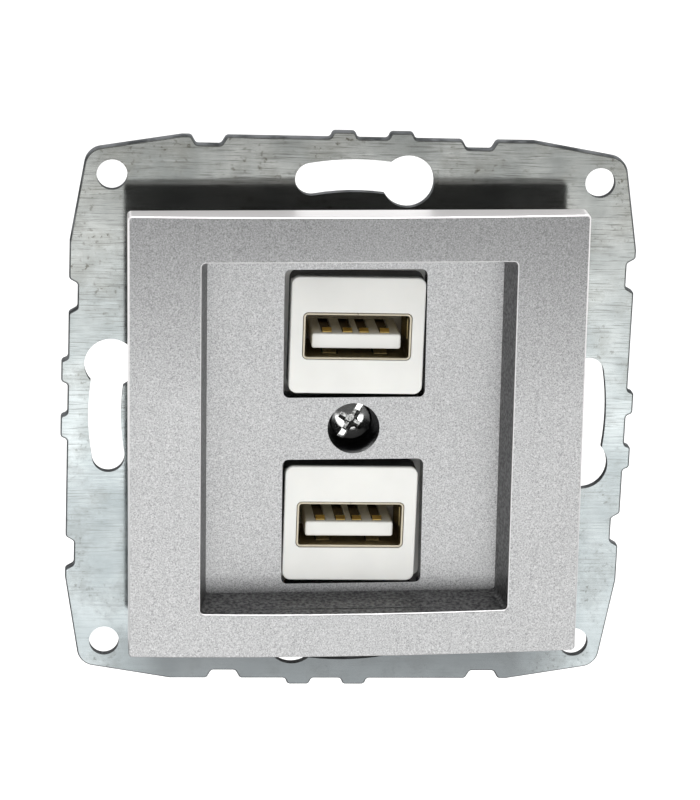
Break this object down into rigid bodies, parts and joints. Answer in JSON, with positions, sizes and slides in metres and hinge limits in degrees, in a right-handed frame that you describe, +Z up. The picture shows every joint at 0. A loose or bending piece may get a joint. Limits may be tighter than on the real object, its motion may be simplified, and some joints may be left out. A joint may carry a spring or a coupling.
{
  "type": "usb wall charger",
  "caption": "Flush wall-box USB charger: steel support plate, square silver cover with a sunk field, white USB-A ports round a centre screw, electronics box behind.",
  "frame": {"origin": "centre of the support plate's rear face, which lies on the wall", "axes": "+X right, +Z up, -Y out of the wall into the room, +Y into the wall box"},
  "size_m": [0.0706, 0.0447, 0.0706],
  "materials": {
    "zinc_steel": "bright zinc-plated sheet with fine rolling lines",
    "silver_cover": "black moulding with satin silver metallic paint in front",
    "bright_zinc": "bright zinc plate",
    "cage_steel": "zinc-plated folded steel",
    "white_plastic": "fine satin, warm white",
    "grey_plastic": "fine spark-eroded texture",
    "brass": "turned",
    "shell_steel": "nickel-plated sheet",
    "tongue_plastic": "smooth white",
    "gold_contact": "gold flash",
    "board_green": "solder resist over glass-fibre laminate",
    "black_mould": "moulded epoxy",
    "ferrite": "sintered, dull",
    "winding_tape": "polyester tape",
    "can_sleeve": "shrink sleeve",
    "disc_coat": "dipped epoxy",
    "block_plastic": "smooth moulding"
  },
  "bodies": {
    "charger": {"support_plate": "zinc_steel", "housing_screws": "bright_zinc", "front_housing": "white_plastic", "rear_housing": "grey_plastic", "screw_insert": "brass", "terminal_tab_left": "brass", "terminal_tab_right": "brass", "upper_usb_shell": "shell_steel", "lower_usb_shell": "shell_steel", "upper_usb_insulator": "tongue_plastic", "lower_usb_insulator": "tongue_plastic", "upper_usb_contacts": "gold_contact", "lower_usb_contacts": "gold_contact", "board_pins": "gold_contact", "usb_board": "board_green", "power_board": "board_green", "pin_strips": "black_mould", "transformer_bobbin": "black_mould", "bridge_rectifier": "black_mould", "output_rectifier": "black_mould", "power_controller": "black_mould", "port_controller_left": "black_mould", "port_controller_right": "black_mould", "fuse": "black_mould", "transformer_core": "ferrite", "filter_choke": "ferrite", "transformer_winding": "winding_tape", "mains_capacitor_upper": "can_sleeve", "mains_capacitor_lower": "can_sleeve", "output_capacitor_left": "can_sleeve", "output_capacitor_right": "can_sleeve", "varistor": "disc_coat", "safety_capacitor": "disc_coat", "terminal_block": "block_plastic"},
    "cover": {"cover": "silver_cover"},
    "cover_screw": {"cover_screw": "bright_zinc"},
    "terminal_screw_left": {"terminal_screw_left": "bright_zinc"},
    "terminal_cage_left": {"terminal_cage_left": "cage_steel"},
    "terminal_screw_right": {"terminal_screw_right": "bright_zinc"},
    "terminal_cage_right": {"terminal_cage_right": "cage_steel"}
  },
  "joints": [
    {"name": "cover_play", "type": "hinge", "parent": "charger", "child": "cover", "pos_m": [0, 0, 0], "axis": [0, -1, 0], "range_deg": [-2.32, 0]},
    {"name": "cover_screw_turn", "type": "hinge", "parent": "charger", "child": "cover_screw", "pos_m": [0, 0, 0], "axis": [0, -1, 0], "continuous": true},
    {"name": "terminal_screw_left_turn", "type": "hinge", "parent": "charger", "child": "terminal_screw_left", "pos_m": [-0.005, 0.0265, 0], "axis": [0, 0, 1], "range_deg": [0, 1728.1]},
    {"name": "terminal_cage_left_lift", "type": "slide", "parent": "charger", "child": "terminal_cage_left", "axis": [0, 0, -1], "range_m": [0, 0.0024]},
    {"name": "terminal_screw_right_turn", "type": "hinge", "parent": "charger", "child": "terminal_screw_right", "pos_m": [0.005, 0.0265, 0], "axis": [0, 0, 1], "range_deg": [0, 1728.1]},
    {"name": "terminal_cage_right_lift", "type": "slide", "parent": "charger", "child": "terminal_cage_right", "axis": [0, 0, -1], "range_m": [0, 0.0024]}
  ],
  "couplings": [
    {"joint": "terminal_screw_left_turn", "follows": "terminal_cage_left_lift", "rad_per_m": 12566},
    {"joint": "terminal_screw_right_turn", "follows": "terminal_cage_right_lift", "rad_per_m": 12566}
  ]
}
